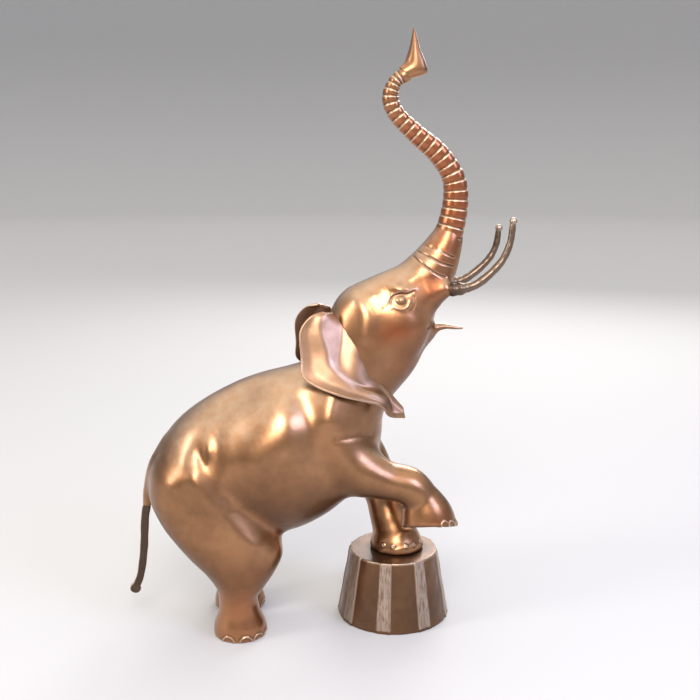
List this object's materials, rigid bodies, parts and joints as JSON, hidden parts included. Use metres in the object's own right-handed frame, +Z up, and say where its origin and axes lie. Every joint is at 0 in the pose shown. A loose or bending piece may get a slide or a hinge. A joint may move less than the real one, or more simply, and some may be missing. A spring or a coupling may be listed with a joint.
{
  "type": "elephant doorstop",
  "caption": "Rearing circus elephant figure on its hind feet, one fore foot on a round tub and trunk raised in an S.",
  "frame": {"origin": "on the floor, under the middle of the whole doorstop's box", "axes": "+Z up, +X the way the elephant faces, +Y towards the elephant's left side"},
  "size_m": [0.3006, 0.1034, 0.4598],
  "materials": {
    "bronze": "polished with a warm brown patina in the recesses",
    "ear_bronze": "polished",
    "brazing_rod": "dull grey-brown, drawn along its length",
    "tub_bronze": "satin brown with scratched grey strips"
  },
  "bodies": {
    "root": {"elephant": "bronze", "ear_right": "ear_bronze", "ear_left": "ear_bronze", "tusk_right": "brazing_rod", "tusk_left": "brazing_rod", "tail": "brazing_rod", "tub": "tub_bronze"}
  },
  "joints": []
}
